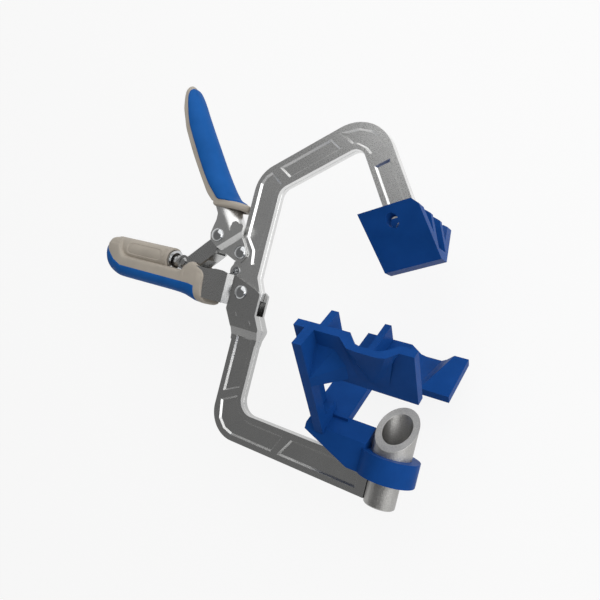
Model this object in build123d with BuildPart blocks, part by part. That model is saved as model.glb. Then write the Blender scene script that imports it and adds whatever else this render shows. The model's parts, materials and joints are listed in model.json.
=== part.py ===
from build123d import *
from math import cos, radians, sin, sqrt
import os

# Locking corner clamp, lying on its side.
# X runs along the foot towards the screw guide, Y along the guide's bore,
# Z through the clamp's thickness. The origin is the corner that the two
# boards meet in, on the bore's axis. Every hinge is parallel to Z.

# Arms: two pressed steel halves back to back
arm_thickness = 8.0
half_thickness = arm_thickness / 2
panel_depth = 0.8

# Fixed frame
foot_low = -49.6
foot_high = -27.4
spine_left = -145.6
spine_right = -123.0
elbow_outer_radius = 22.5
elbow_inner_radius = 12.0
foot_end = -10.3
cheek_gap = 0.3
cheek_thickness = 2.4
cheek_inner = half_thickness + cheek_gap
cheek_outer = cheek_inner + cheek_thickness
block_top = 46.0
joggle_low = 28.0
joggle_high = 34.0

# Pivots, seen along Z
main_pivot = Vector(-145.9, 60.7)
lever_pivot = Vector(-156.4, 90.7)
link_pivot = Vector(-180.0, 100.4)
axis_height = 73.0
link_foot = Vector(-211.0, axis_height)
eyelet_centre = Vector(-157.1, 75.9)
jaw_pivot = Vector(-25.8, 128.3)
shank_radius = 3.5
running_clearance = 0.05
rivet_head_radius = 4.9
rivet_head_height = 3.0
eyelet_radius = 2.6
eyelet_bore = 1.9
eyelet_flange = 3.4
spring_anchor = Vector(-178.0, 62.0)
anchor_radius = 1.25

# Handle channel of the frame
tang_outer = 11.9
tang_wall = 2.0
tang_right = -155.9
joggle_left = -158.6
tang_top = 73.2
tang_bottom = 49.0
tang_inner = tang_outer - tang_wall
tang_notch = -222.0
tang_notch_top = 62.0
tang_end = -286.0
grip_floor = 53.0
guard_left = -186.0
guard_right = -169.0
guard_bottom = 45.5

# Upper arm
arm_left = -159.0
arm_right = -135.6
arm_width = 21.0
hub_radius = 14.2
hub_shoulder = 15.7
lug_radius = 6.2
diagonal_angle = 33.2
diagonal_start = (-133.5, 171.3)
end_angle = -56.1
first_bend_radius = 25.0
first_bend_inner = 10.0
big_bend_radius = 32.0
big_bend_inner = 9.0

# Lever
lever_wall = 2.0
lever_narrow = half_thickness + 0.3
lever_narrow_wall = 1.5
lever_wide = 7.6
lever_outer = lever_wide + lever_wall
joggle_angle = 37.5
joggle_point = Vector(-178.1, 91.0)
joggle_width = 3.2
cover_half = 12.0
pad_half = 13.5
pad_skin = 1.5

# Link and plunger
link_inner = 5.3
link_wall = 2.0
link_outer = link_inner + link_wall
link_boss_radius = 6.2
foot_slack = 1.6
foot_pin_radius = 2.5
plunger_radius = 5.0
plunger_flat = 4.8
plunger_front = -205.6
plunger_back = -284.0

# Grip
grip_half = 13.5
housing_radius = 10.3
housing_front = -228.0
housing_back = -296.0
ring_radius = 8.6
ring_bore = 6.6
ring_front = -225.6
ring_length = 7.0
overmould_side = 0.8
chamber_radius = 7.5
chamber_back = -275.0

# Screw guide
barrel_radius = 13.5
neck_radius = 10.5
bore_radius = 9.25
barrel_low = -51.0
shoulder = -27.0

# Lower jaw
plate_thickness = 6.0
plate_low = 38.2
plate_high = 76.8
jaw_left = -60.9
jaw_right = 19.5
fence_left = -44.9
fence_right = -39.6
fence_height = 14.2
rib_left = -52.6
rib_right = -45.9
rib_depth = 20.7
gusset_low = 41.5
gusset_high = 48.5
block_half = 10.5
roof_drop = 2.7
collar_radius = 19.5
collar_low = -33.0
collar_high = -17.3
key_clearance = 0.05

# Upper jaw
jaw_turn = 24.57
jaw_length = 39.3
jaw_height = 33.2
apex_half = 5.68
pin_height = 25.4
jaw_plate = 9.6
pocket_half = 7.3
socket_wall = 4.9
pocket_floor = 7.1
access_radius = 4.0
jaw_pin_radius = 3.0
jaw_pin_head = 3.7
corner_cut = 3.4
boss_radius = 8.0

os.makedirs("parts", exist_ok=True)


def slab(plane, left, right, low, high, height, mode=Mode.ADD):
    """A rectangular block given by its edges on a plane and its height."""
    with BuildSketch(plane) as outline:
        with Locations(((left + right) / 2, (low + high) / 2)):
            Rectangle(right - left, high - low)
    extrude(outline.sketch, amount=height, mode=mode)


def prism(plane, points, height, mode=Mode.ADD, both=False):
    """A straight-sided block with the given outline."""
    with BuildSketch(plane) as outline:
        with BuildLine():
            Polyline(*points, close=True)
        make_face()
    extrude(outline.sketch, amount=height, mode=mode, both=both)


def disc(centre, radius, low, high, mode=Mode.ADD):
    """A round block parallel to Z."""
    with BuildSketch(Plane.XY.offset(low)) as outline:
        with Locations((centre.X, centre.Y)):
            Circle(radius)
    extrude(outline.sketch, amount=high - low, mode=mode)


def outline_of(points, radii):
    """A face with straight edges whose corners are rounded by the radii given."""
    with BuildSketch() as outline:
        with BuildLine():
            Polyline(*points, close=True)
        make_face()
        for point, radius in radii:
            fillet(outline.vertices().sort_by_distance((point[0], point[1], 0))[0], radius)
    return outline.sketch


def along_x(radius, start, end, height, mode=Mode.ADD, bore=0.0):
    """A round bar or tube parallel to X at the given height."""
    with BuildSketch(Plane.YZ.offset(start)) as outline:
        with Locations((height, 0)):
            Circle(radius)
            if bore:
                Circle(bore, mode=Mode.SUBTRACT)
    extrude(outline.sketch, amount=end - start, mode=mode)


def along_y(radius, low, high, mode=Mode.ADD):
    """A round bar on the guide's axis."""
    with BuildSketch(Plane(origin=(0, low, 0), x_dir=(1, 0, 0), z_dir=(0, 1, 0))) as outline:
        Circle(radius)
    extrude(outline.sketch, amount=high - low, mode=mode)


def wire_run(points, radius):
    """A bent wire through the given points."""
    for start, end in zip(points[:-1], points[1:]):
        with BuildSketch(Plane(origin=start, z_dir=end - start)) as section:
            RegularPolygon(radius, 6)
        extrude(section.sketch, amount=(end - start).length)
    for point in points[1:-1]:
        with Locations(point):
            Sphere(radius)


def save(part, label):
    part.label = label
    export_step(part, "parts/" + label + ".step")


def dome_rivet(centre, half_grip):
    """A rivet through the stack, with a domed head on both sides."""
    top = half_grip + rivet_head_height
    rise = half_grip + 0.72 * rivet_head_height
    shoulder_rise = half_grip + 0.3 * rivet_head_height
    with BuildPart() as rivet:
        with BuildSketch(Plane((centre.X, centre.Y, 0), x_dir=(1, 0, 0), z_dir=(0, -1, 0))) as half:
            with BuildLine():
                Polyline(
                    (0, top), (0, 0), (shank_radius, 0), (shank_radius, half_grip), (rivet_head_radius, half_grip),
                    (0.93 * rivet_head_radius, shoulder_rise), (0.6 * rivet_head_radius, rise), close=True,
                )
            make_face()
        revolve(half.sketch, axis=Axis((centre.X, centre.Y, 0), (0, 0, 1)))
        mirror(about=Plane.XY)
    return rivet.part


def crossing(first, first_angle, second, second_angle):
    """Where two lines meet, each given by a point and its direction in degrees."""
    u = Vector(cos(radians(first_angle)), sin(radians(first_angle)))
    v = Vector(cos(radians(second_angle)), sin(radians(second_angle)))
    gap = Vector(*second) - Vector(*first)
    reach = (gap.X * v.Y - gap.Y * v.X) / (u.X * v.Y - u.Y * v.X)
    return (first[0] + u.X * reach, first[1] + u.Y * reach)


def beside(point, angle, distance):
    """A point moved to the right of a direction given in degrees."""
    return (point[0] + distance * sin(radians(angle)), point[1] - distance * cos(radians(angle)))


# The near board lies against the near plane's X direction, and this plane
# measures how far along that face a feature stands. Its Y points into the
# far side, so a negative Y is outside the jaw.
near_plane = Plane(origin=(0, 0, 0), x_dir=(1, 0, 0), z_dir=(0, 1, 1))
beyond = 60.0

# Screw guide: a cast tube whose mouth is cut at 45 degrees, so that it lies
# flush with a board on the far support face. A tang joins it to the foot.
tang_half = 1.5
tang_reach = 24.0
tang_margin = 5.0
rim_chamfer = 0.8
with BuildPart() as guide_barrel:
    with BuildSketch() as wall:
        with BuildLine():
            Polyline(
                (bore_radius, barrel_low),
                (neck_radius - rim_chamfer, barrel_low),
                (neck_radius, barrel_low + rim_chamfer),
                (neck_radius, shoulder),
                (barrel_radius, shoulder),
                (barrel_radius, beyond / 2),
                (bore_radius, beyond / 2),
                close=True,
            )
        make_face()
    revolve(wall.sketch, axis=Axis.Y)
    prism(Plane.YZ.offset(-beyond), [(-beyond, beyond), (beyond, -beyond), (beyond, beyond)], 2 * beyond,
          mode=Mode.SUBTRACT)
    slab(Plane.YZ.offset(foot_end - tang_reach), foot_low + tang_margin, foot_high - tang_margin,
         -tang_half, tang_half, tang_reach + 0.4)
save(guide_barrel.part, "guide_barrel")

# Fixed frame: the foot, the spine, the cheeks round the hub and the handle
# channel, in two mirrored pressings
arm_outline = outline_of(
    [
        (foot_end, foot_low),
        (foot_end, foot_high),
        (spine_right, foot_high),
        (spine_right, joggle_high),
        (spine_left, joggle_high),
        (spine_left, foot_low),
    ],
    [((spine_left, foot_low), elbow_outer_radius), ((spine_right, foot_high), elbow_inner_radius)],
)
body_outline = outline_of(
    [
        (-156.0, block_top),
        (-147.5, 33.0),
        (spine_left - 0.9, joggle_low - 4),
        (spine_right + 0.4, joggle_low - 4),
        (-121.8, 36.0),
        (-127.8, block_top),
        (-127.8, 62.5),
        (-130.5, 64.4),
        (-151.5, 71.4),
        (-156.0, 72.4),
    ],
    [((-121.8, 36.0), 2.5), ((-127.8, 62.5), 1.5)],
)
rivet_places = [Vector(-147.4, 42.2), Vector(-132.7, 38.1)]
flush_rivet_radius = 2.9
with BuildPart() as body_skin:
    prism(
        Plane.YZ.offset(-200),
        [(joggle_low - 4, 0), (joggle_low - 4, half_thickness), (joggle_low, half_thickness),
         (joggle_high, cheek_outer), (80, cheek_outer), (80, cheek_inner), (block_top, cheek_inner), (block_top, 0)],
        120,
    )
    extrude(body_outline, amount=cheek_outer, mode=Mode.INTERSECT)

foot_panels = [
    [(-141.2, 28.0), (-127.0, 28.2), (-126.8, -9.4), (-141.2, -15.9)],
    [(-141.1, -22.5), (-127.0, -15.6), (-125.6, -21.5), (-121.3, -27.3), (-115.5, -31.0), (-109.8, -32.0),
     (-80.0, -32.0), (-86.7, -45.3), (-124.4, -45.2), (-132.3, -42.8), (-138.4, -36.6)],
    [(-72.6, -31.9), (-36.4, -31.9), (-17.6, -35.5), (-17.6, -45.4), (-81.0, -45.3)],
]
with BuildPart() as frame_half_front:
    extrude(arm_outline, amount=half_thickness)
    add(body_skin.part)
    # the joggle outwards and the handle channel behind it
    prism(
        Plane((0, tang_bottom, 0), x_dir=(1, 0, 0), z_dir=(0, 1, 0)),
        [(tang_right, -cheek_inner), (tang_right, -cheek_outer), (joggle_left, -tang_outer),
         (joggle_left - 2.6, -tang_outer), (joggle_left - 2.6, -tang_inner), (joggle_left - 1.2, -tang_inner),
         (tang_right - 2.4, -cheek_inner)],
        72.4 - tang_bottom,
    )
    prism(
        Plane.XY.offset(tang_inner),
        [(joggle_left, tang_bottom), (joggle_left, 72.4), (-164.0, tang_top + 0.5), (-171.0, tang_top + 0.6),
         (-179.0, tang_top - 0.6), (-186.0, tang_top - 0.4), (-204.0, tang_top - 0.4), (-204.0, 64.0),
         (tang_notch, tang_notch_top), (tang_end, tang_notch_top), (tang_end, grip_floor),
         (guard_left, grip_floor), (guard_left + 3, guard_bottom), (-175.0, guard_bottom),
         (guard_right - 1.5, guard_bottom + 1.2), (guard_right, tang_bottom)],
        tang_wall,
    )
    slab(Plane.XY, guard_right, tang_right - 2.6, tang_bottom, tang_bottom + tang_wall, tang_inner)
    slab(Plane.XY, tang_end, guard_left + 2, grip_floor, grip_floor + tang_wall, tang_inner)
    slab(Plane.XY, guard_left, guard_right + 2, grip_floor - 2, grip_floor, tang_inner)
    slab(Plane.XY, guard_right, guard_right + 2, tang_bottom, grip_floor, tang_inner)
    # recessed panels, with a rim left all round
    for panel in foot_panels:
        prism(Plane.XY.offset(half_thickness - panel_depth), panel, panel_depth + 3, mode=Mode.SUBTRACT)
    # seat of the guide and its tang, the main rivet's hole and the flush rivets' holes
    along_y(neck_radius, foot_low - 1, foot_high + 1, mode=Mode.SUBTRACT)
    slab(Plane.YZ.offset(foot_end - tang_reach), foot_low + tang_margin, foot_high - tang_margin,
         -tang_half, tang_half, tang_reach, mode=Mode.SUBTRACT)
    disc(main_pivot, shank_radius, -1, cheek_outer + 1, mode=Mode.SUBTRACT)
    disc(spring_anchor, anchor_radius, -1, tang_outer + 1, mode=Mode.SUBTRACT)
    for place in rivet_places:
        disc(place, flush_rivet_radius, -1, cheek_outer + 1, mode=Mode.SUBTRACT)
save(frame_half_front.part, "frame_half_front")

with BuildPart() as frame_half_rear:
    mirror(frame_half_front.part, about=Plane.XY)
save(frame_half_rear.part, "frame_half_rear")

with BuildPart() as frame_rivets:
    for place in rivet_places:
        disc(place, flush_rivet_radius, -cheek_outer - 0.2, cheek_outer + 0.2)
save(frame_rivets.part, "frame_rivets")

save(dome_rivet(main_pivot, cheek_outer), "main_rivet")

with BuildPart() as spring_anchor_pin:
    disc(spring_anchor, anchor_radius, -tang_outer, tang_outer)
save(spring_anchor_pin.part, "spring_anchor_pin")

# Upper arm: hub, spine, two bends and the jaw's end, in two pressings
spine_angle = 90.0
end_start = beside((jaw_pivot.X, jaw_pivot.Y), end_angle, -arm_width / 2)
outer_first = crossing((arm_left, 0), spine_angle, diagonal_start, diagonal_angle)
outer_second = crossing(diagonal_start, diagonal_angle, end_start, end_angle)
diagonal_under = beside(diagonal_start, diagonal_angle, arm_width)
end_under = beside(end_start, end_angle, arm_width)
inner_first = crossing((arm_right, 0), spine_angle, diagonal_under, diagonal_angle)
inner_second = crossing(diagonal_under, diagonal_angle, end_under, end_angle)
upper_outline = outline_of(
    [
        (arm_left, 84.0),
        outer_first,
        outer_second,
        end_start,
        end_under,
        inner_second,
        inner_first,
        (arm_right, 74.2),
        (main_pivot.X + hub_shoulder - 0.3, 64.4),
        (main_pivot.X + hub_shoulder - 0.6, 57.5),
        (main_pivot.X, main_pivot.Y - hub_radius + 2),
        (main_pivot.X - hub_radius + 1, main_pivot.Y),
        (-163.0, 74.0),
        (-161.0, 83.0),
    ],
    [(outer_first, first_bend_radius), (outer_second, big_bend_radius),
     (inner_first, first_bend_inner), (inner_second, big_bend_inner)],
)
end_panel_length = 37.0
end_dir = Vector(cos(radians(end_angle)), sin(radians(end_angle)))
arm_panels = [
    [(-154.8, 104.0), (-154.7, 147.5), (-151.6, 153.4), (-146.9, 157.1), (-135.8, 149.2), (-138.7, 142.0),
     (-139.4, 114.5), (-141.9, 84.0), (-144.8, 83.3), (-146.7, 94.3)],
    [(-140.4, 161.3), (-101.9, 186.6), (-91.7, 180.1), (-129.5, 154.6)],
    [(-95.6, 191.4), (-83.4, 184.2), (-79.9, 184.6), (-72.1, 181.9), (-66.8, 177.7), (-56.7, 184.8),
     (-62.5, 190.7), (-70.5, 195.1), (-81.1, 196.2)],
    [(-61.4, 169.4), (-51.2, 175.8), (-51.2 + end_panel_length * end_dir.X, 175.8 + end_panel_length * end_dir.Y),
     (-61.4 + end_panel_length * end_dir.X, 169.4 + end_panel_length * end_dir.Y)],
]
with BuildPart() as upper_arm_front:
    extrude(upper_outline, amount=half_thickness)
    disc(main_pivot, hub_radius, 0, half_thickness)
    disc(eyelet_centre, lug_radius, 0, half_thickness)
    disc(jaw_pivot, arm_width / 2, 0, half_thickness)
    for panel in arm_panels:
        prism(Plane.XY.offset(half_thickness - panel_depth), panel, panel_depth + 3, mode=Mode.SUBTRACT)
    disc(main_pivot, shank_radius + running_clearance, -1, half_thickness + 1, mode=Mode.SUBTRACT)
    disc(lever_pivot, shank_radius + running_clearance, -1, half_thickness + 1, mode=Mode.SUBTRACT)
    disc(eyelet_centre, eyelet_radius, -1, half_thickness + 1, mode=Mode.SUBTRACT)
    disc(jaw_pivot, jaw_pin_radius, -1, half_thickness + 1, mode=Mode.SUBTRACT)
save(upper_arm_front.part, "upper_arm_front")

with BuildPart() as upper_arm_rear:
    mirror(upper_arm_front.part, about=Plane.XY)
save(upper_arm_rear.part, "upper_arm_rear")

# Hollow rivet in the arm's lug, for the return spring's hook
with BuildPart() as spring_eyelet:
    disc(eyelet_centre, eyelet_radius, -half_thickness - 0.2, half_thickness + 0.2)
    disc(eyelet_centre, eyelet_flange, half_thickness, half_thickness + 0.7)
    disc(eyelet_centre, eyelet_flange, -half_thickness - 0.7, -half_thickness)
    disc(eyelet_centre, eyelet_bore, -half_thickness - 2, half_thickness + 2, mode=Mode.SUBTRACT)
save(spring_eyelet.part, "spring_eyelet")

# Upper jaw: a 45 degree wedge with two inner walls that ride on the arm's end
jaw_x = Vector(cos(radians(jaw_turn)), sin(radians(jaw_turn)))
jaw_y = Vector(-sin(radians(jaw_turn)), cos(radians(jaw_turn)))
jaw_corner = jaw_pivot - jaw_x * (jaw_length / 2) - jaw_y * pin_height
jaw_section = Plane(origin=jaw_corner, x_dir=jaw_y, z_dir=jaw_x)
jaw_side = Plane(origin=jaw_corner, x_dir=jaw_x, z_dir=(0, 0, 1))
wall_outer = pocket_half + socket_wall
wall_foot = wall_outer + jaw_plate - apex_half
with BuildPart() as upper_jaw:
    prism(
        jaw_section,
        [(0, apex_half), (jaw_height, apex_half + jaw_height), (jaw_height, apex_half + jaw_height - jaw_plate),
         (wall_foot, wall_outer), (jaw_height, wall_outer), (jaw_height, pocket_half), (pocket_floor, pocket_half),
         (pocket_floor, -pocket_half), (jaw_height, -pocket_half), (jaw_height, -wall_outer),
         (wall_foot, -wall_outer), (jaw_height, jaw_plate - apex_half - jaw_height),
         (jaw_height, -apex_half - jaw_height), (0, -apex_half)],
        jaw_length,
    )
    prism(
        jaw_side,
        [(jaw_length, jaw_height - corner_cut), (jaw_length - corner_cut, jaw_height),
         (jaw_length + 1, jaw_height + 1), (jaw_length + 1, jaw_height - corner_cut)],
        beyond,
        mode=Mode.SUBTRACT,
        both=True,
    )
    # bosses that centre the arm's end, the pin's bore and the holes that reach its heads
    for side in (-1, 1):
        near, far = sorted((side * (half_thickness + 0.3), side * (pocket_half + 1)))
        disc(jaw_pivot, boss_radius, near, far)
        near, far = sorted((side * wall_outer, side * beyond))
        disc(jaw_pivot, access_radius, near, far, mode=Mode.SUBTRACT)
    disc(jaw_pivot, jaw_pin_radius + running_clearance, -beyond, beyond, mode=Mode.SUBTRACT)
save(upper_jaw.part, "upper_jaw")

with BuildPart() as jaw_pin:
    disc(jaw_pivot, jaw_pin_radius, -wall_outer - 0.2, wall_outer + 0.2)
    disc(jaw_pivot, jaw_pin_head, wall_outer + 0.2, wall_outer + 2.2)
    disc(jaw_pivot, jaw_pin_head, -wall_outer - 2.2, -wall_outer - 0.2)
save(jaw_pin.part, "jaw_pin")

# Lower jaw: two plates at 45 degrees with fences and driver channels, on a
# column and a block that straddles the foot, with a collar round the guide
def on_near(x, depth, reach):
    """A point given along X, outwards from the near face and along it."""
    return near_plane.from_local_coords(Vector(x, -depth, reach))


# Three-sided web between the rib and the plate, with two sloping faces on top
gusset_tip = -27.0
gusset_crest = 65.5
gusset_apex = on_near(rib_right, rib_depth, gusset_high)
gusset_ridge = on_near(-33.5, plate_thickness, gusset_crest - 0.8)
with BuildPart() as gusset:
    prism(
        near_plane.offset(gusset_low),
        [(rib_right, -rib_depth), (gusset_tip, -plate_thickness), (rib_right, -plate_thickness)],
        beyond / 2,
    )
    for corner in (on_near(rib_right, plate_thickness, gusset_crest), on_near(gusset_tip, plate_thickness, 53.0)):
        slope = (gusset_ridge - gusset_apex).cross(corner - gusset_apex)
        if slope.dot(near_plane.z_dir) < 0:
            slope = -slope
        with BuildSketch(Plane(origin=gusset_apex, z_dir=slope)) as above:
            Rectangle(4 * beyond, 4 * beyond)
        extrude(above.sketch, amount=beyond, mode=Mode.SUBTRACT)

window_low = 7.0
with BuildPart() as near_side:
    slab(near_plane.offset(plate_low), jaw_left, jaw_right, -plate_thickness, 0, plate_high - plate_low)
    # the channel's outer bulge dies out towards the plate's lower edge
    with BuildSketch(near_plane.offset(plate_high)) as bulge_top:
        with BuildLine():
            Polyline((-28.2, -5.9), (-19.6, -13.0), (-13.0, -13.8), (0.0, -13.8), (5.0, -12.6), (10.6, -5.9),
                     close=True)
        make_face()
    with BuildSketch(near_plane.offset(45.0)) as bulge_end:
        with BuildLine():
            Polyline((-19.0, -5.9), (-13.0, -6.2), (-11.0, -6.3), (-4.0, -6.3), (-2.0, -6.2), (1.0, -5.9), close=True)
        make_face()
    loft([bulge_top.sketch, bulge_end.sketch], ruled=True)
    with BuildSketch(near_plane.offset(plate_high)) as hollow_top:
        with BuildLine():
            Polyline((-23.8, 0.1), (-17.0, -7.6), (-13.0, -8.7), (-1.0, -8.7), (3.0, -6.0), (9.0, 0.1), close=True)
        make_face()
    with BuildSketch(near_plane.offset(42.0)) as hollow_end:
        with BuildLine():
            Polyline((-16.0, 0.1), (-12.0, -0.2), (-10.0, -0.3), (-4.0, -0.3), (-2.0, -0.2), (0.0, 0.1), close=True)
        make_face()
    loft([hollow_top.sketch, hollow_end.sketch], ruled=True, mode=Mode.SUBTRACT)
    slab(near_plane.offset(plate_low), fence_left, fence_right, 0, fence_height, plate_high - plate_low)
    slab(near_plane.offset(-roof_drop - 2), rib_left, rib_right, -rib_depth, -plate_thickness,
         plate_high + roof_drop + 2)
    add(gusset.part)
    slab(near_plane.offset(-roof_drop), jaw_left, rib_left, -plate_thickness, 0, plate_low + roof_drop)
    slab(near_plane.offset(-roof_drop), rib_left, rib_right, -plate_thickness, 0, plate_low + roof_drop)
    # window in the rib beside the plate's root
    slab(near_plane.offset(window_low), rib_left, rib_right, -13.0, -plate_thickness, gusset_low - window_low,
         mode=Mode.SUBTRACT)
    slab(near_plane.offset(window_low), rib_left, rib_right, -plate_thickness - 1, 1, plate_low - window_low,
         mode=Mode.SUBTRACT)

with BuildPart() as lower_jaw:
    add(near_side.part)
    mirror(near_side.part, about=Plane.XY)
    # the far support face carries on to the corner
    prism(Plane.YZ.offset(jaw_left), [(-4.2, 4.2), (27.2, -27.2), (23.0, -31.4), (-8.4, 0)], -34.0 - jaw_left)
    # base block over the foot, with a roof parallel to both support faces
    roof = -roof_drop * sqrt(2)
    prism(Plane.YZ.offset(jaw_left), [(roof, 0), (roof - block_half, block_half), (-40, block_half),
                                      (-40, -block_half), (roof - block_half, -block_half)], -14.5 - jaw_left)
    prism(
        Plane.XY,
        [(jaw_left - 1, -18.4), (-24.3, -33.3), (-24.3, -45), (jaw_left - 1, -45)],
        beyond, mode=Mode.SUBTRACT, both=True,
    )
    prism(Plane.XY, [(-24.4, -33.3), (-14, -33.3), (-14, -45), (-24.4, -45)], beyond, mode=Mode.SUBTRACT, both=True)
    along_y(collar_radius, collar_low, collar_high)
    along_y(neck_radius + key_clearance, collar_low - 1, shoulder + 1, mode=Mode.SUBTRACT)
    along_y(barrel_radius + key_clearance, shoulder, beyond, mode=Mode.SUBTRACT)
    # slot that keys the jaw on the foot
    slab(Plane.XY.offset(-half_thickness - key_clearance), jaw_left - 1, 0, -60, foot_high + key_clearance,
         2 * (half_thickness + key_clearance), mode=Mode.SUBTRACT)
save(lower_jaw.part, "lower_jaw")

# Lever: a steel channel that narrows to hug the arm at the lever's pivot
handle_frame = Plane(origin=(-172.3, 131.7, 0), x_dir=(-0.641, 0.768, 0), z_dir=(0, 0, 1))


def on_handle(along, across):
    """A point measured along the handle and across it from the palm's side."""
    placed = handle_frame.from_local_coords(Vector(along, across))
    return (placed.X, placed.Y)


web_depth = 7.4
channel_reach = 106.0
web_points = [
    (-164.4, 105.3), (-165.3, 113.5), (-170.3, 120.6), on_handle(5, web_depth), on_handle(channel_reach, web_depth),
    on_handle(channel_reach, web_depth + lever_wall), on_handle(6, web_depth + lever_wall), (-172.2, 119.6),
    (-167.3, 112.8), (-166.4, 105.3),
]
cheek_points = [
    (-176.2, 89.7), (-186.2, 95.9), (-187.6, 101.1), (-186.6, 106.3), (-185.1, 112.6), (-185.3, 117.6),
    (-188.8, 122.6), on_handle(20, 18.9), on_handle(60, 18.6), on_handle(84, 17.0), on_handle(98, 12.6),
    on_handle(channel_reach, 9.2), on_handle(channel_reach, web_depth), on_handle(5, web_depth), (-170.3, 120.6), (-163.9, 115.2), (-159.9, 113.9),
    (-157.0, 111.1), (-157.2, 107.0), (-158.3, 102.2), (-154.5, 97.4), (-150.4, 91.0), (-150.6, 88.4),
    (-154.6, 82.9), (-160.3, 83.7),
]
joggle_plane = Plane(
    origin=(joggle_point.X, joggle_point.Y, 0),
    x_dir=(-sin(radians(joggle_angle)), cos(radians(joggle_angle)), 0),
    z_dir=(cos(radians(joggle_angle)), sin(radians(joggle_angle)), 0),
)
lever_step = lever_narrow + lever_narrow_wall
bend_shift = 0.6
with BuildPart() as cheek_band:
    prism(
        joggle_plane.offset(-2 * beyond),
        [(3 * beyond, lever_wide), (3 * beyond, lever_outer), (0, lever_outer), (-joggle_width, lever_step),
         (-beyond, lever_step), (-beyond, lever_narrow), (bend_shift - joggle_width, lever_narrow),
         (bend_shift, lever_wide)],
        4 * beyond,
    )
with BuildPart() as lever_channel:
    prism(Plane.XY, cheek_points, lever_outer + 1)
    add(cheek_band.part, mode=Mode.INTERSECT)
    prism(Plane.XY, web_points, lever_wide + lever_wall / 2)
    disc(lever_pivot, shank_radius, 0, lever_outer + 1, mode=Mode.SUBTRACT)
    disc(link_pivot, shank_radius, 0, lever_outer + 1, mode=Mode.SUBTRACT)
    mirror(about=Plane.XY)
save(lever_channel.part, "lever_channel")

save(dome_rivet(lever_pivot, lever_step), "lever_rivet")
save(dome_rivet(link_pivot, lever_outer), "link_rivet")

# Plastic cover of the lever's handle, open at the back for the channel
palm_run = [
    (0.0, 1.2), (5.0, 2.6), (10.0, 3.2), (30.0, 3.9), (50.0, 3.5), (70.0, 3.0), (90.0, 2.3), (104.0, 1.8),
    (119.5, 2.2),
]
palm_line = [on_handle(along, across) for along, across in palm_run]

handle_section = Plane(origin=handle_frame.origin, x_dir=handle_frame.y_dir, z_dir=handle_frame.x_dir)
handle_plan = Plane(origin=handle_frame.origin, x_dir=handle_frame.x_dir, z_dir=-handle_frame.y_dir)
palm_depth = 1.7
palm_radius = 9.5
tip_reach = 126.4


def handle_block(half, inset):
    """The room a layer of the handle fills: round on the palm's side and at the tip."""
    with BuildPart() as block:
        with BuildSketch(handle_section.offset(-10.0)) as palm_side:
            with BuildLine():
                palm = palm_depth + inset
                flat = half - palm_radius
                Polyline((palm, -flat), (palm, flat))
                RadiusArc((palm, flat), (palm + palm_radius, half), palm_radius)
                Polyline((palm + palm_radius, half), (beyond, half), (beyond, -half), (palm + palm_radius, -half))
                RadiusArc((palm + palm_radius, -half), (palm, -flat), palm_radius)
            make_face()
        extrude(palm_side.sketch, amount=3 * beyond)
        with BuildSketch(handle_plan) as tip:
            with BuildLine():
                ThreePointArc((112.0, -half), (tip_reach - inset, 0), (112.0, half))
                Polyline((112.0, half), (-beyond, half), (-beyond, -half), (112.0, -half))
            make_face()
        extrude(tip.sketch, amount=beyond, both=True, mode=Mode.INTERSECT)
    return block.part


cover_outline = [
    (-189.4, 124.1), (-175.8, 124.9), (-165.9, 122.2), (-162.2, 124.4), (-162.6, 127.6), (-165.2, 128.6),
] + [on_handle(along, across + pad_skin) for along, across in palm_run] + [
    on_handle(125.0, 3.6), on_handle(126.4, 5.0), on_handle(123.0, 8.2), on_handle(111.0, 10.6),
    on_handle(105.4, 12.6), on_handle(98.5, 15.2), on_handle(91.7, 17.5), on_handle(84.1, 19.3),
    on_handle(76.0, 20.2), on_handle(60.0, 20.7), on_handle(26.0, 21.2), on_handle(17.0, 21.2),
    on_handle(9.6, 19.7),
]
lip_outline = [
    (-189.4, 124.1), (-175.8, 124.9), (-165.9, 122.2), (-162.2, 124.4), (-162.6, 127.6), (-165.2, 128.6),
    (-172.0, 128.6), (-190.0, 129.4),
]
with BuildPart() as cover_core:
    prism(Plane.XY.offset(-cover_half), cover_outline, 2 * cover_half)
    add(handle_block(cover_half, pad_skin), mode=Mode.INTERSECT)
    prism(Plane.XY.offset(-cover_half), lip_outline, 2 * cover_half)
with BuildPart() as lever_cover:
    add(cover_core.part)
    prism(
        Plane.XY.offset(-lever_outer),
        [(-165.3, 113.5), (-170.3, 120.6), on_handle(5, web_depth), on_handle(channel_reach + 0.5, web_depth),
         on_handle(channel_reach + 0.5, 40), on_handle(-20, 40)],
        2 * lever_outer,
        mode=Mode.SUBTRACT,
    )
save(lever_cover.part, "lever_cover")

# Soft pad wrapped over the palm's side and both faces of the cover
pad_outline = palm_line + [
    on_handle(118.0, 4.0), on_handle(111.0, 6.6), on_handle(102.3, 9.4), on_handle(95.4, 11.8),
    on_handle(87.9, 13.7), on_handle(80.5, 15.2), on_handle(72.4, 16.1), on_handle(64.0, 16.6),
    on_handle(23.0, 16.9), on_handle(15.7, 17.3), on_handle(10.0, 16.2), (-182.0, 127.4), (-174.5, 128.9),
]
with BuildPart() as lever_pad:
    prism(Plane.XY.offset(-pad_half), pad_outline, 2 * pad_half)
    add(handle_block(pad_half, 0), mode=Mode.INTERSECT)
    add(cover_core.part, mode=Mode.SUBTRACT)
save(lever_pad.part, "lever_pad")

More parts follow.
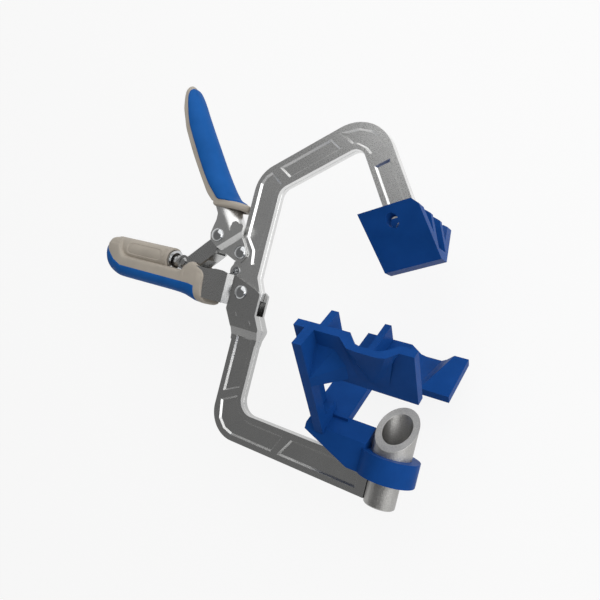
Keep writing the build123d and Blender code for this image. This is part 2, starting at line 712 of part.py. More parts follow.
# Toggle link: two plates joined by a web below, its foot loose on the pin
foot_boss = 6.0
link_points = [
    (-183.5, 100.3), (-210.7, 75.2), (-213.8, 75.3), (-215.6, 70.5), (-209.0, 67.2), (-200.0, 67.6),
    (-192.9, 73.9), (-186.7, 79.4), (-179.4, 86.6), (-179.2, 92.6), (-174.2, 98.5),
]
with BuildPart() as toggle_link:
    prism(Plane.XY.offset(link_inner), link_points, link_wall)
    disc(link_pivot, link_boss_radius, link_inner, link_outer)
    disc(link_foot, foot_boss, link_inner, link_outer)
    prism(Plane.XY, [(-180.2, 85.8), (-186.7, 79.4), (-188.2, 80.9), (-181.7, 87.3)], link_outer)
    disc(link_pivot, shank_radius + running_clearance, -1, link_outer + 1, mode=Mode.SUBTRACT)
    disc(link_foot, foot_pin_radius + foot_slack, -1, link_outer + 1, mode=Mode.SUBTRACT)
    mirror(about=Plane.XY)
save(toggle_link.part, "toggle_link")

# Plunger of the clamping force adjuster, with flats for the link's foot
flange_back = -250.0
flange_length = 4.0
flange_radius = 6.5
with BuildPart() as plunger:
    along_x(plunger_radius, plunger_back, plunger_front, axis_height)
    slab(Plane.XY.offset(-plunger_flat), plunger_back, plunger_front, axis_height - flange_radius,
         axis_height + flange_radius, 2 * plunger_flat, mode=Mode.INTERSECT)
    along_x(flange_radius, flange_back, flange_back + flange_length, axis_height)
    disc(link_foot, foot_pin_radius, -beyond, beyond, mode=Mode.SUBTRACT)
save(plunger.part, "plunger")

pin_overhang = 0.6
with BuildPart() as link_foot_pin:
    disc(link_foot, foot_pin_radius, -link_outer - pin_overhang, link_outer + pin_overhang)
save(link_foot_pin.part, "link_foot_pin")

with BuildPart() as adjuster_ring:
    along_x(ring_radius, ring_front - ring_length, ring_front, axis_height, bore=ring_bore)
save(adjuster_ring.part, "adjuster_ring")

# Compression spring behind the plunger's flange
spring_wire = 0.6
spring_coil = 6.3
spring_turns = 5
spring_reach = flange_back - chamber_back - 2 * spring_wire
with BuildPart() as adjuster_spring:
    with BuildLine() as coil:
        Helix(spring_reach / spring_turns, spring_reach, spring_coil,
              center=(chamber_back + spring_wire, axis_height, 0), direction=(1, 0, 0))
    with BuildSketch(Plane(origin=coil.line @ 0, z_dir=coil.line % 0)) as wire:
        RegularPolygon(spring_wire, 4)
    sweep(wire.sketch, path=coil.line, is_frenet=True)
save(adjuster_spring.part, "adjuster_spring")

# Return spring of the arm, from the eyelet to the anchor pin
return_wire = 0.5
return_coil = 2.6
return_turns = 6
pull = (spring_anchor - eyelet_centre).normalized()
return_span = (spring_anchor - eyelet_centre).length
coil_length = 13.5
hook_length = 7.5
hook_gap = 2.9
anchor_eye = 1.8
coil_from = spring_anchor - pull * (coil_length + hook_gap)
with BuildPart() as return_spring:
    with BuildLine() as loops:
        Helix(coil_length / return_turns, coil_length, return_coil, center=coil_from, direction=pull)
    with BuildSketch(Plane(origin=loops.line @ 0, z_dir=loops.line % 0)) as strand:
        RegularPolygon(return_wire, 4)
    sweep(strand.sketch, path=loops.line, is_frenet=True)
    # a long hook through the eyelet and round the lug, and an eye on the anchor pin
    across = Vector(0, 0, half_thickness + 1.2)
    wire_run(
        [loops.line @ 0, eyelet_centre + pull * hook_length + across, eyelet_centre + across,
         eyelet_centre - across, eyelet_centre + pull * hook_length - across],
        return_wire,
    )
    wire_run([loops.line @ 1, spring_anchor - pull * hook_gap, spring_anchor - pull * anchor_eye], return_wire)
    with BuildSketch(Plane.XY.offset(-return_wire)) as eye:
        with Locations((spring_anchor.X, spring_anchor.Y)):
            Circle(anchor_eye + return_wire)
            Circle(anchor_radius, mode=Mode.SUBTRACT)
    extrude(eye.sketch, amount=2 * return_wire)
save(return_spring.part, "return_spring")

# Grip: a moulded shell round the frame's handle channel, with the adjuster's
# housing on top and a soft skin over its lower half
overmould_points = [
    (-186.1, 43.9), (-189.8, 44.3), (-195.6, 46.8), (-206.4, 48.8), (-283.3, 48.8), (-293.2, 51.1),
    (-303.0, 55.6), (-308.4, 61.6), (-312.9, 70.7), (-303.0, 71.6), (-292.8, 68.1), (-287.2, 62.7),
    (-277.5, 57.7), (-194.7, 57.3), (-187.6, 56.6), (-186.1, 48.5),
]
core_points = [
    (-180.0, 45.6), (-190.2, 46.5), (-196.4, 49.0), (-206.4, 51.0), (-283.0, 51.0), (-292.4, 53.1),
    (-301.4, 57.4), (-306.5, 62.8), (-309.5, 69.5), (-309.5, 80.0), (-180.0, 80.0),
]
with BuildPart() as grip_block:
    with BuildSketch(Plane.XZ) as plan:
        with BuildLine():
            ThreePointArc((-301.0, grip_half), (-313.0, 0), (-301.0, -grip_half))
            Polyline((-301.0, -grip_half), (-150.0, -grip_half), (-150.0, grip_half), (-301.0, grip_half))
        make_face()
    extrude(plan.sketch, amount=2 * beyond, both=True)
with BuildPart() as grip_overmould:
    prism(Plane.XY.offset(-grip_half), overmould_points, 2 * grip_half)
    prism(Plane.XY.offset(overmould_side - grip_half), core_points, 2 * (grip_half - overmould_side),
          mode=Mode.SUBTRACT)
    add(grip_block.part, mode=Mode.INTERSECT)
save(grip_overmould.part, "grip_overmould")

label_left = -275.0
label_right = -232.0
label_depth = 0.6
with BuildPart() as label_recess:
    along_x(housing_radius + 1, label_left, label_right, axis_height, bore=housing_radius - label_depth)
    slab(Plane.XY, label_left, label_right, 70.5, 80.0, housing_radius + 2, mode=Mode.INTERSECT)

shell_points = [
    (-174.5, 45.2), (-184.0, 43.7), (-189.8, 44.3), (-195.6, 46.8), (-206.4, 48.8), (-283.3, 48.8),
    (-293.2, 51.1), (-303.0, 55.6), (-308.4, 61.6), (-312.9, 70.7), (-310.7, 78.8), (-296.0, 79.6),
    (-286.0, 77.2), (-285.2, 72.6), (-277.4, 67.4), (-271.3, 66.7), (-206.0, 66.7), (-204.4, 71.1),
    (-200.4, 73.6), (-194.0, 74.1), (-185.5, 71.4), (-183.2, 68.2), (-181.5, 61.9), (-180.2, 52.0),
]
with BuildPart() as grip_shell:
    prism(Plane.XY.offset(-grip_half), shell_points, 2 * grip_half)
    add(grip_block.part, mode=Mode.INTERSECT)
    along_x(housing_radius, housing_back, housing_front, axis_height)
    add(grip_overmould.part, mode=Mode.SUBTRACT)
    add(label_recess.part, mode=Mode.SUBTRACT)
    # room for the frame's handle channel and the link
    prism(
        Plane.XY.offset(-tang_outer),
        [(tang_end, grip_floor), (tang_end, tang_notch_top), (tang_notch, tang_notch_top), (tang_notch, 95.0),
         (tang_right, 95.0), (tang_right, guard_bottom), (guard_left, guard_bottom), (guard_left, grip_floor)],
        2 * tang_outer,
        mode=Mode.SUBTRACT,
    )
    ring_seat = ring_front - ring_length - 0.3
    along_x(ring_radius + running_clearance, ring_seat, tang_notch + 1, axis_height, mode=Mode.SUBTRACT)
    along_x(chamber_radius, chamber_back, ring_seat, axis_height, mode=Mode.SUBTRACT)
    along_x(plunger_radius + running_clearance, plunger_back - 3, chamber_back, axis_height, mode=Mode.SUBTRACT)
save(grip_shell.part, "grip_shell")
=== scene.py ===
import json
import math

import bmesh
import bpy
import numpy as np
from mathutils import Matrix, Vector


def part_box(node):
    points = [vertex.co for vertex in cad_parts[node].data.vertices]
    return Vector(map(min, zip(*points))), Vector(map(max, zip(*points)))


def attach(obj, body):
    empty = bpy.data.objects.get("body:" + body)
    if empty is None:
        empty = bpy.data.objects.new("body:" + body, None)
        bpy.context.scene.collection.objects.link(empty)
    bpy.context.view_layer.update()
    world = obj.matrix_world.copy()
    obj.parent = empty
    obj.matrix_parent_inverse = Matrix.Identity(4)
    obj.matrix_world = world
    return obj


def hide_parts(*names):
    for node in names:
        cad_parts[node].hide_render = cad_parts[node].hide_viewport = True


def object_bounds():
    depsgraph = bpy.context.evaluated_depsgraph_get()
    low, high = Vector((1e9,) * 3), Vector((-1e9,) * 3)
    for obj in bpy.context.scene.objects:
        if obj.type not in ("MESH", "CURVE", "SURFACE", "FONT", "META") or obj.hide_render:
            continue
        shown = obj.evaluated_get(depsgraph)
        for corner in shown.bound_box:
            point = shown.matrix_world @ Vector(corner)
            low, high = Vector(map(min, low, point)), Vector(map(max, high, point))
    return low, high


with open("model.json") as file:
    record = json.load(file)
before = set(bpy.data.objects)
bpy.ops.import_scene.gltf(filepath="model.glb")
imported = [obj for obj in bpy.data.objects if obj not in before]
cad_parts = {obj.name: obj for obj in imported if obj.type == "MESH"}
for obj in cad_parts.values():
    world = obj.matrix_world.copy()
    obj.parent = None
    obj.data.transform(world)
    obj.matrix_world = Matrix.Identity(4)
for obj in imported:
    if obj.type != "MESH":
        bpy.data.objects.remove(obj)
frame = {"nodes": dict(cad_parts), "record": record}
cad_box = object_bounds()

# Lower frame: two pressed halves of sheet steel, riveted back to back. Satin zinc
# plate with a fine grain; the side walls and seam are rougher and painted darker
# (painted shade), and the pressed panels have sloping walls that catch the light.

body_of_node = {n: b for b, ns in frame["record"]["behaviour"]["bodies"].items() for n in ns}
mm = 0.001


def finish_nodes(name):
    """An empty material with its shader."""
    mat = bpy.data.materials.new(name)
    mat.use_nodes = True
    tree = mat.node_tree
    tree.nodes.clear()
    out = tree.nodes.new("ShaderNodeOutputMaterial")
    shader = tree.nodes.new("ShaderNodeBsdfPrincipled")
    tree.links.new(shader.outputs["BSDF"], out.inputs["Surface"])
    return mat, tree, shader


def noise(tree, scale, detail):
    """Noise in the piece's own coordinates."""
    coords = tree.nodes.new("ShaderNodeTexCoord")
    tex = tree.nodes.new("ShaderNodeTexNoise")
    tex.inputs["Scale"].default_value = scale
    tex.inputs["Detail"].default_value = detail
    tree.links.new(coords.outputs["Object"], tex.inputs["Vector"])
    return tex.outputs["Fac"]


def spread(tree, value, low, high, start=0.3, end=0.7):
    """A value carried in proportion from one range, start to end, to another, low to high."""
    node = tree.nodes.new("ShaderNodeMapRange")
    for socket, number in (("From Min", start), ("From Max", end), ("To Min", low), ("To Max", high)):
        node.inputs[socket].default_value = number
    tree.links.new(value, node.inputs["Value"])
    return node.outputs["Result"]


def between(tree, value, first, second):
    """A colour between two colours."""
    node = tree.nodes.new("ShaderNodeMix")
    node.data_type = "RGBA"
    node.inputs["A"].default_value = (*first, 1)
    node.inputs["B"].default_value = (*second, 1)
    tree.links.new(value, node.inputs["Factor"])
    return node.outputs["Result"]


def combined(tree, operation, first, second):
    """Two values put together by one operation, such as their sum or the greater of the two."""
    node = tree.nodes.new("ShaderNodeMath")
    node.operation = operation
    tree.links.new(first, node.inputs[0])
    tree.links.new(second, node.inputs[1])
    return node.outputs[0]


def relief(tree, shader, value, height):
    """Bump from a value, in metres."""
    node = tree.nodes.new("ShaderNodeBump")
    node.inputs["Distance"].default_value = height
    node.inputs["Strength"].default_value = 1.0
    tree.links.new(value, node.inputs["Height"])
    tree.links.new(node.outputs["Normal"], shader.inputs["Normal"])


def metal(name, dark, light, rough, grain, height):
    """Plated or cast metal. A third of the colour follows slow clouds and two thirds follow a fine grain,
    and the gloss and the relief follow the grain alone."""
    mat, tree, shader = finish_nodes(name)
    cloud = noise(tree, scale=45.0, detail=6.0)
    fine = noise(tree, scale=grain, detail=8.0)
    tint = combined(tree, "ADD", spread(tree, cloud, 0.0, 0.35), spread(tree, fine, 0.0, 0.65))
    tree.links.new(between(tree, tint, dark, light), shader.inputs["Base Color"])
    tree.links.new(spread(tree, fine, *rough), shader.inputs["Roughness"])
    relief(tree, shader, fine, height)
    shader.inputs["Metallic"].default_value = 1.0
    return mat


sheet_steel = metal("plated_sheet_steel", dark=(0.47, 0.47, 0.466), light=(0.57, 0.57, 0.565),
                    rough=(0.22, 0.32), grain=2400, height=0.00002)
# Darker, rougher copy of the steel for side walls and seam: its darkness is painted shade.
wall_shade_steel = metal("side_walls_painted_shade", dark=(0.13, 0.13, 0.128), light=(0.21, 0.21, 0.207),
                rough=(0.34, 0.5), grain=1800, height=0.00005)


def mount(piece, node):
    """A finished piece rides with its CAD node's body."""
    bpy.context.scene.collection.objects.link(piece)
    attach(piece, body_of_node[node])


def mount_instead(piece, node):
    """A finished piece that also stands for its CAD node."""
    mount(piece, node)
    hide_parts(node)


def folded(edge, turn):
    """Whether two faces meet at an edge by more than an angle."""
    return len(edge.link_faces) == 2 and edge.calc_face_angle(0) > turn


# Sizes of a pressing in millimetres, areas in square metres, turns in radians
# and the last two gaps in metres.
half_thickness = 4.0
panel_depth = 0.8
panel_area = 40e-6
rim_drop = 0.12
outline_round = 0.8
seam_half = 1.6
square_turn = 1.2
broad_area = 300e-6
hair = 2e-5
near = 5e-5


def rolled(work, slope):
    """Deepens the recessed panels by their own depth, with walls that slope in by so many millimetres.
    It also rounds the outline of the broad flat faces and opens the seam between two pressings."""
    floors = [f for f in work.faces if abs(f.normal.z) > 0.99 and f.calc_area() > panel_area
              and abs(abs(f.calc_center_median().z) - (half_thickness - panel_depth) * mm) < near]
    walls = bmesh.ops.inset_region(work, faces=floors, thickness=slope * mm, depth=0,
                                   use_even_offset=True)["faces"]
    inner = {v for f in floors for v in f.verts}
    rims = {v for f in walls for v in f.verts} - inner
    for v in inner:
        v.co.z -= math.copysign(panel_depth * mm, v.co.z)
    for v in rims:
        v.co.z = math.copysign((half_thickness - rim_drop) * mm, v.co.z)
    outline = [e for e in work.edges if folded(e, square_turn)
               and all(abs(abs(v.co.z) - half_thickness * mm) < hair for v in e.verts)
               and min(abs(f.normal.z) for f in e.link_faces) < 0.1
               and max(f.calc_area() for f in e.link_faces) > broad_area]
    bmesh.ops.bevel(work, geom=outline, offset=outline_round * mm, segments=3, profile=0.5,
                    affect="EDGES", clamp_overlap=True)
    seam = [e for e in work.edges if folded(e, square_turn)
            and all(abs(v.co.z) < hair for v in e.verts)
            and max(f.calc_area() for f in e.link_faces) > broad_area]
    bmesh.ops.bevel(work, geom=seam, offset=seam_half * mm, segments=1, profile=0.5,
                    affect="EDGES", clamp_overlap=True)


def surface(name, points, material, sharp=38):
    """A closed mesh from rows of points in millimetres. Each row is a section that is joined round, quads lie
    between neighbours in two rows, and the first and last rows are capped. Folds above sharp stay crisp."""
    rows, columns = points.shape[:2]
    index = np.arange(rows * columns).reshape(rows, columns)
    index = np.hstack((index, index[:, :1]))
    quads = np.stack((index[:-1, :-1], index[1:, :-1], index[1:, 1:], index[:-1, 1:]), axis=-1)
    mesh = bpy.data.meshes.new(name)
    mesh.from_pydata((points.reshape(-1, 3) * mm).tolist(), [], quads.reshape(-1, 4).tolist())
    work = bmesh.new()
    work.from_mesh(mesh)
    bmesh.ops.remove_doubles(work, verts=work.verts, dist=2e-6)
    bmesh.ops.dissolve_degenerate(work, dist=1e-6, edges=work.edges)
    holes = [e for e in work.edges if e.is_boundary]
    if holes:
        bmesh.ops.holes_fill(work, edges=holes, sides=0)
    bmesh.ops.recalc_face_normals(work, faces=work.faces)
    for face in work.faces:
        face.smooth = True
    for edge in work.edges:
        if folded(edge, math.radians(sharp)):
            edge.smooth = False
    work.to_mesh(mesh)
    work.free()
    mesh.materials.append(material)
    return bpy.data.objects.new(name, mesh)


cut_reach = 20.0


def without(mesh, outline):
    """The mesh less a prism: the outline in millimetres, carried along Z through the whole piece."""
    walls = np.stack([np.column_stack((outline, np.full(len(outline), z))) for z in (-cut_reach, cut_reach)])
    cutter = surface("cutter", walls, sheet_steel)
    whole = bpy.data.objects.new("whole", mesh)
    for thing in (cutter, whole):
        bpy.context.scene.collection.objects.link(thing)
    cut = whole.modifiers.new("cut", "BOOLEAN")
    cut.operation = "DIFFERENCE"
    cut.solver = "EXACT"
    cut.object = cutter
    left_over = bpy.data.meshes.new_from_object(whole.evaluated_get(bpy.context.evaluated_depsgraph_get()))
    for thing in (cutter, whole):
        bpy.data.objects.remove(thing)
    return left_over


same_plane = math.radians(0.6)
crease_turn = math.radians(13)
corner_turn = math.radians(28)


def pressed(node, material, edge=0.35, slope=None, cut=None):
    """A copy of a CAD node with its vertices merged and its corners rounded. A pressing with panels also gets
    their sloping walls and a darker material of painted shade on its sides and seam, and a prism is cut away
    where an outline is given."""
    mesh = frame["nodes"][node].data.copy()
    work = bmesh.new()
    work.from_mesh(mesh)
    bmesh.ops.remove_doubles(work, verts=work.verts, dist=1e-6)
    bmesh.ops.dissolve_limit(work, angle_limit=same_plane, verts=work.verts, edges=work.edges)
    if slope:
        rolled(work, slope)
    if cut is not None:
        work.to_mesh(mesh)
        work.free()
        mesh = without(mesh, cut)
        work = bmesh.new()
        work.from_mesh(mesh)
    for face in work.faces:
        face.smooth = True
        in_seam = all(abs(v.co.z) < (seam_half + 0.05) * mm for v in face.verts)
        # Side walls and seam faces take the darker steel: painted shade.
        face.material_index = 1 if slope and (abs(face.normal.z) < 0.3 or in_seam) else 0
    for crease in work.edges:
        if folded(crease, crease_turn):
            crease.smooth = False
    work.to_mesh(mesh)
    work.free()
    mesh.materials.clear()
    mesh.materials.append(material)
    if slope:
        mesh.materials.append(wall_shade_steel)
    piece = bpy.data.objects.new(node + "_piece", mesh)
    bevel = piece.modifiers.new("edges", "BEVEL")
    bevel.width = edge * mm
    bevel.segments = 2
    bevel.limit_method = "ANGLE"
    bevel.angle_limit = corner_turn
    bevel.harden_normals = True
    mount_instead(piece, node)


under_collar = [(-205.0, 40.0), (-160.0, 40.0), (-160.0, 49.05), (-205.0, 49.05)]
for node in ("frame_half_front", "frame_half_rear"):
    pressed(node, sheet_steel, edge=0.2, slope=1.15, cut=under_collar)

# Rivets, pins, springs, the hollow eyelet, the adjuster's ring and the plunger:
# bright nickel plate, but zinc plate on the flush rivets, the hidden pins and
# the plunger. The three big rivets are closed into a dome at both ends.

bright = metal("bright_plate", dark=(0.50, 0.51, 0.52), light=(0.58, 0.59, 0.60),
               rough=(0.07, 0.12), grain=600, height=0.00001)
head_radius = 5.5
head_rise = 3.0
head_lip = 0.35
shank_radius = 2.6
rivet_turn = math.atan2(0.31, -0.87) + np.linspace(0, 2 * np.pi, 48, endpoint=False)


def domed(node):
    """A riveted pin: the profile is a plain shank with a quarter ellipse on a low lip at both ends, and it
    goes round the pin's line at every angle."""
    low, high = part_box(node)
    centre = [(low[i] + high[i]) / 2 / mm for i in range(3)]
    half_grip = (high[2] - low[2]) / 2 / mm - head_rise
    swing = np.linspace(0, np.pi / 2, 12)
    dome = np.column_stack((head_radius * np.cos(swing),
                            half_grip + head_lip + (head_rise - head_lip) * np.sin(swing)))
    half = np.vstack(([(shank_radius, 0.0), (shank_radius, half_grip), (head_radius, half_grip)], dome))
    radius, height = np.vstack((half[:0:-1] * (1, -1), half)).T
    points = np.stack((centre[0] + np.outer(radius, np.cos(rivet_turn)),
                       centre[1] + np.outer(radius, np.sin(rivet_turn)),
                       centre[2] + np.outer(height, np.ones(len(rivet_turn)))), axis=-1)
    mount_instead(surface(node + "_piece", points, bright), node)


for node in ("main_rivet", "lever_rivet", "link_rivet"):
    domed(node)
for node in ("spring_eyelet", "jaw_pin", "adjuster_ring", "return_spring", "adjuster_spring"):
    pressed(node, bright, edge=0.12)
for node in ("frame_rivets", "spring_anchor_pin", "link_foot_pin", "plunger"):
    pressed(node, sheet_steel, edge=0.08)

# Upper arm: two pressings like the frame's, which turn on the main rivet; their steel
# is a lighter copy of the frame's, painted light. The toggle link is folded from the frame's sheet.

# A lighter copy of the frame's steel, painted light; the lever's channel and throat use it too.
steel_painted_lighter = metal("plated_steel_painted_lighter", dark=(0.70, 0.70, 0.694), light=(0.84, 0.84, 0.833),
                  rough=(0.24, 0.34), grain=2400, height=0.00002)
for node in ("upper_arm_front", "upper_arm_rear"):
    pressed(node, steel_painted_lighter, edge=0.2, slope=1.3)
pressed("toggle_link", sheet_steel)

# Lever's steel channel: a third pressing, riveted to the arm. Its palm side is
# drawn out into a throat, a half cone that carries the handle's round back down
# to the flat cheeks, with an arch at its lower end.


def smooth(table, count):
    """Rows of a table carried through a Catmull-Rom curve, at evenly spaced places."""
    table = np.array(table, float)
    t = np.linspace(0, len(table) - 1, count)
    i = np.clip(t.astype(int), 0, len(table) - 2)
    f = (t - i)[:, None]
    padded = np.vstack((2 * table[0] - table[1], table, 2 * table[-1] - table[-2]))
    a, b, c, d = (padded[i + k] for k in range(4))
    bend = 2 * a - 5 * b + 4 * c - d
    twist = 3 * b - a - 3 * c + d
    return 0.5 * (2 * b + (c - a) * f + bend * f**2 + twist * f**3)


line_samples = 200
cheek_line = smooth([(-189.0, 126.0), (-184.4, 119.9), (-178.0, 112.9), (-173.5, 108.4), (-169.6, 104.3)],
                    line_samples)
palm_line = smooth([(-170.6, 126.0), (-169.0, 121.0), (-165.8, 116.0), (-163.6, 112.0), (-162.6, 107.6)],
                   line_samples)
arch = [(-169.4, 108.9), (-168.0, 112.6), (-165.5, 114.0), (-163.2, 112.4), (-150.0, 112.4), (-150.0, 126.0)]
pressed("lever_channel", steel_painted_lighter, cut=np.vstack((cheek_line[::20], cheek_line[-1:], arch)))

# The arch shortens the sheet by a bell curve of the turn, one on each side of
# the middle.
throat_half = 9.95
throat_wall = 1.6
throat_turn = np.linspace(-np.pi / 2, np.pi / 2, 49)
arch_height, arch_place, arch_width = 0.42, 0.87, 0.34
throat_end = 1 - arch_height * np.exp(-(((np.abs(throat_turn) - arch_place) / arch_width) ** 2))


def on_line(line, at):
    """Points of a line at so many steps from its start."""
    return np.column_stack([np.interp(at, np.arange(line_samples), line[:, k]) for k in range(2)])


def throat_ring(share, inset):
    """A half ellipse from one cheek over the palm's side to the other: the way from the cheeks' line to the
    palm's line goes with the cosine of the turn and the width with its sine. Every point lies at the same
    share of its own way down to the arch, and the inner side of the sheet is set in by its thickness."""
    at = share * throat_end * (line_samples - 1)
    cheek = on_line(cheek_line, at)
    palm = on_line(palm_line, at)
    span = np.linalg.norm(palm - cheek, axis=1)[:, None]
    flat = cheek + (palm - cheek) * np.cos(throat_turn)[:, None] * (1 - inset / span)
    return np.column_stack((flat, (throat_half - inset) * np.sin(throat_turn)))


throat_outer = np.array([throat_ring(share, 0.0) for share in np.linspace(0, 1, 30)])
throat_inner = np.array([throat_ring(share, throat_wall) for share in np.linspace(0, 1, 30)])
throat = surface("lever_throat", np.hstack((throat_outer, throat_inner[:, ::-1])), steel_painted_lighter, sharp=50)
mount(throat, "lever_channel")

# Screw guide: die-cast tube with a 45 degree mouth, held in the jaw's collar
# and blasted so that it is matt and grainy.

cast = metal("cast_guide", dark=(0.30, 0.297, 0.288), light=(0.52, 0.514, 0.50),
             rough=(0.36, 0.52), grain=1200, height=0.0002)
pressed("guide_barrel", cast)

# Jaws: glass-filled nylon in blue, moulded in one piece each, with soft
# corners and a faint mould grain. The upper one swivels on its pin.


def moulded(name, dark, light, rough, grain, height, gloss=0.2):
    """Moulded plastic or rubber: the colour follows slow clouds, and gloss and relief follow a fine grain."""
    mat, tree, shader = finish_nodes(name)
    cloud = noise(tree, scale=60.0, detail=4.0)
    tree.links.new(between(tree, spread(tree, cloud, 0.0, 1.0), dark, light), shader.inputs["Base Color"])
    fine = noise(tree, scale=grain, detail=6.0)
    tree.links.new(spread(tree, fine, *rough), shader.inputs["Roughness"])
    relief(tree, shader, fine, height)
    shader.inputs["Specular IOR Level"].default_value = gloss
    return mat


jaw_blue = moulded("jaw_nylon", dark=(0.007, 0.056, 0.235), light=(0.009, 0.067, 0.28),
                   rough=(0.30, 0.42), grain=1800, height=0.00003, gloss=0.03)
for node in ("lower_jaw", "upper_jaw"):
    pressed(node, jaw_blue, edge=0.5)

# Lever's cover: pale moulding shaped like a spoon that is open at the back,
# with a rolled rim and a lip for the finger at its lower end. It is pushed
# over the steel channel.

pale = moulded("pale_moulding", dark=(0.40, 0.36, 0.308), light=(0.45, 0.405, 0.345),
               rough=(0.42, 0.55), grain=1600, height=0.00004)
handle_root = np.array((-172.3, 131.7))
handle_way = np.array((-0.641, 0.768))
handle_back = np.array((-0.768, -0.641))


def on_handle(along, back):
    """A point measured along the handle and across it, from the palm's side to the open side."""
    return handle_root + along * handle_way + back * handle_back


def station(rim, palm, half):
    """One row of the handle's table: the rim's point, the palm's point and half the width."""
    return (*rim, *palm, half)


handle_stations = [
    station((-188.6, 123.2), (-163.4, 123.4), 10.9),
    station((-190.0, 124.4), (-162.2, 125.4), 12.0),
    station((-190.8, 126.6), (-163.0, 128.4), 12.0),
    station(on_handle(10, 18.4), on_handle(0.5, 1.4), 12.0),
    station(on_handle(18, 20.0), on_handle(9, 3.3), 12.0),
    station(on_handle(27, 20.2), on_handle(22, 3.9), 12.0),
    station(on_handle(40, 20.2), on_handle(38, 3.9), 12.0),
    station(on_handle(58, 19.9), on_handle(58, 3.4), 12.0),
    station(on_handle(74, 18.9), on_handle(74, 3.0), 12.0),
    station(on_handle(85, 17.9), on_handle(86, 2.6), 12.0),
    station(on_handle(94, 15.8), on_handle(96, 2.2), 12.0),
    station(on_handle(103, 13.7), on_handle(105, 1.8), 11.8),
    station(on_handle(111, 10.8), on_handle(113, 1.9), 10.9),
    station(on_handle(117, 9.0), on_handle(119, 2.2), 9.2),
    station(on_handle(121.5, 8.0), on_handle(123, 2.9), 6.9),
    station(on_handle(124.6, 6.9), on_handle(125.4, 3.7), 4.0),
    station(on_handle(125.9, 5.6), on_handle(126.2, 4.6), 0.8),
]
handle_rows = 150
handle_run = smooth(handle_stations, handle_rows)
round_part = 14.0
fullness = 2.15
side_wall = 2.3
palm_wall = 3.4


def half_section(width, half):
    """Outer side, rolled rim and inner side of one half of the U, as distances from the palm and outwards.
    Each side is a quarter superellipse and then a straight, and the rim is a half circle."""
    curve = min(round_part, 0.999 * width)
    wall = min(side_wall, 0.8 * half)
    bottom = min(palm_wall, 0.6 * width)
    turn = np.linspace(0, np.pi / 2, 18)
    bow = np.cos(turn) ** (2 / fullness)
    lift = np.sin(turn) ** (2 / fullness)
    straight = np.linspace(curve, width, 6)[1:]
    level = np.full(len(straight), half)
    outer = np.vstack((np.column_stack((curve * (1 - bow), half * lift)),
                       np.column_stack((straight, level))))
    swing = np.linspace(0, np.pi, 8)[1:-1]
    rim = np.column_stack((width + wall / 2 * np.sin(swing), half - wall / 2 + wall / 2 * np.cos(swing)))
    inner = np.vstack((np.column_stack((straight[::-1], level - wall)),
                       np.column_stack((curve - (curve - bottom) * bow, (half - wall) * lift))[::-1]))
    return outer, rim, inner


def placed(row, section):
    """Points of a section on one station of the handle."""
    rim, palm = row[:2], row[2:4]
    way = (rim - palm) / np.linalg.norm(rim - palm)
    flat = palm + section[:, :1] * way
    return np.column_stack((flat, section[:, 1]))


def handle_ring(row):
    """The whole closed U of one station: one half, and its mirror image on the way back."""
    half = np.vstack(half_section(np.linalg.norm(row[:2] - row[2:4]), row[4]))
    other = half[::-1] * (1, -1)
    return placed(row, np.vstack((half, other)))


cover = surface("lever_cover_piece", np.array([handle_ring(row) for row in handle_run]), pale)
mount_instead(cover, "lever_cover")

# Lever's pad: soft blue skin moulded over the palm's side of the cover. It
# swells from nothing at its edge to its full thickness within a millimetre.

blue_skin = moulded("blue_overmould", dark=(0.006, 0.09, 0.33), light=(0.009, 0.105, 0.38),
                    rough=(0.5, 0.65), grain=2200, height=0.00003, gloss=0.1)
# How far the pad reaches from the palm's middle at stations of the handle.
pad_stations = (0, 2.42, 2.55, 2.8, 3, 4, 7, 9, 10, 11, 12, 12.7, 13.3, 16)
pad_reach = (0, 0.0, 8.0, 12.0, 13.4, 13.6, 13.0, 12.0, 10.4, 8.2, 5.6, 3.4, 0.0, 0)
pad_edge = np.interp(np.linspace(0, 1, handle_rows) * (len(handle_stations) - 1), pad_stations, pad_reach)
samples = np.linspace(-1, 1, 61)
samples = np.sign(samples) * np.abs(samples) ** 0.7


def pad_row(row, reach):
    """Outer line of the cover between the pad's two edges, at the samples' shares of the way to each edge."""
    outer = half_section(np.linalg.norm(row[:2] - row[2:4]), row[4])[0]
    walk = np.concatenate(([0], np.cumsum(np.linalg.norm(np.diff(outer, axis=0), axis=1))))
    at = np.abs(samples) * np.interp(reach, outer[:, 0], walk)
    side = np.interp(at, walk, outer[:, 1]) * np.sign(samples)
    return placed(row, np.column_stack((np.interp(at, walk, outer[:, 0]), side)))


def swollen(name, sheet, outwards, edge_power, end_power, above, below):
    """Soft skin on a sheet of points. It rises along the sheet's normal, and goes in below it, by the root of
    one less a high power of the place across the sheet, times the same for the place along it."""
    out = np.cross(np.gradient(sheet, axis=0), np.gradient(sheet, axis=1))
    out /= np.linalg.norm(out, axis=2, keepdims=True) + 1e-12
    if np.dot(out[len(sheet) // 2, len(samples) // 2], outwards) < 0:
        out = -out
    walk = np.linspace(-1, 1, len(sheet))
    across = np.sqrt(np.clip(1 - np.abs(samples) ** edge_power, 0, 1))
    along = np.sqrt(np.clip(1 - np.abs(walk) ** end_power, 0, 1))
    swell = (across[None, :] * along[:, None])[:, :, None]
    top = sheet + above * swell * out
    bottom = sheet - below * swell * out
    return surface(name, np.hstack((top, bottom[:, ::-1])), blue_skin, sharp=60)


pad_sheet = np.array([pad_row(handle_run[i], pad_edge[i]) for i in np.where(pad_edge > 0.3)[0]])
pad = swollen("lever_pad_piece", pad_sheet, (*-handle_back, 0), edge_power=14, end_power=30,
              above=1.2, below=0.35)
mount_instead(pad, "lever_pad")

# Grip: pale moulded shell round the frame's channel, with a collar round the
# steel in front. The round housing of the adjuster lies on top of it, with a
# shallow label field that is left bare.

